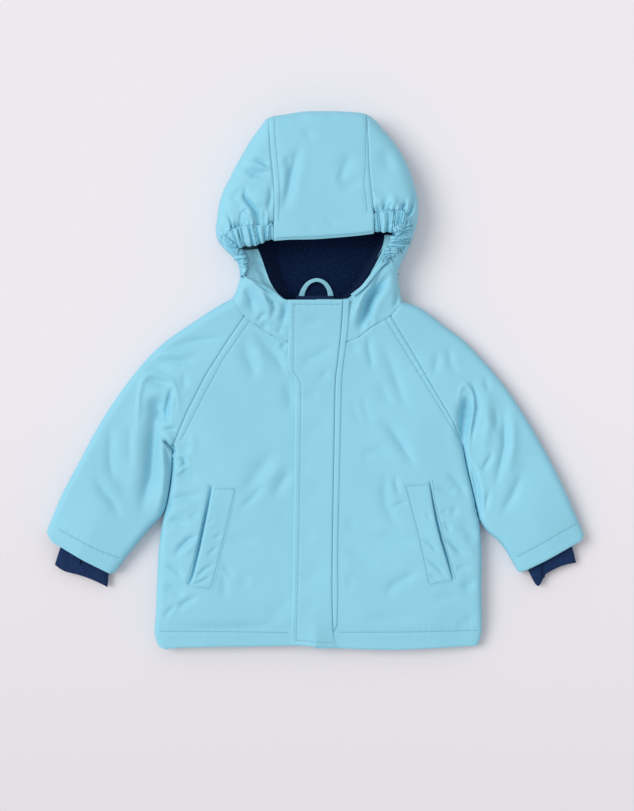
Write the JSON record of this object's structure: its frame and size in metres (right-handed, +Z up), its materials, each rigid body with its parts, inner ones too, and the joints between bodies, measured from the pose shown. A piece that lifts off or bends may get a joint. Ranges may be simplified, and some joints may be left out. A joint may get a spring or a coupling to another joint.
{
  "type": "kids raincoat",
  "caption": "Hooded children's raincoat laid flat, front up: raglan sleeves, storm flap, slanted welt pockets, gathered hood corners, fleece lining and knit inner cuffs.",
  "frame": {"origin": "bottom centre of the laid-out coat's bounding box, on the surface it lies on", "axes": "X to the wearer's left, Y from the hem to the hood, Z up from the surface"},
  "size_m": [0.6293, 0.6282, 0.0482],
  "materials": {
    "coat_shell": "matte polyurethane-coated knit, light aqua",
    "lining_fleece": "navy polar fleece",
    "cuff_knit": "navy rib knit",
    "label_tape": "plain navy woven tape"
  },
  "bodies": {
    "root": {"back": "coat_shell", "front_right": "coat_shell", "front_left": "coat_shell", "sleeve_right": "coat_shell", "sleeve_left": "coat_shell", "cuff_right": "cuff_knit", "cuff_left": "cuff_knit", "hood_centre": "coat_shell", "hood_side_right": "coat_shell", "hood_side_left": "coat_shell", "hood_casing_brim": "coat_shell", "hood_casing_right": "coat_shell", "hood_casing_left": "coat_shell", "hood_facing": "coat_shell", "hood_lining": "lining_fleece", "storm_flap": "coat_shell", "flap_band": "coat_shell", "pocket_welt_right": "coat_shell", "pocket_welt_left": "coat_shell", "hanging_loop": "coat_shell", "neck_label": "label_tape"}
  },
  "joints": []
}
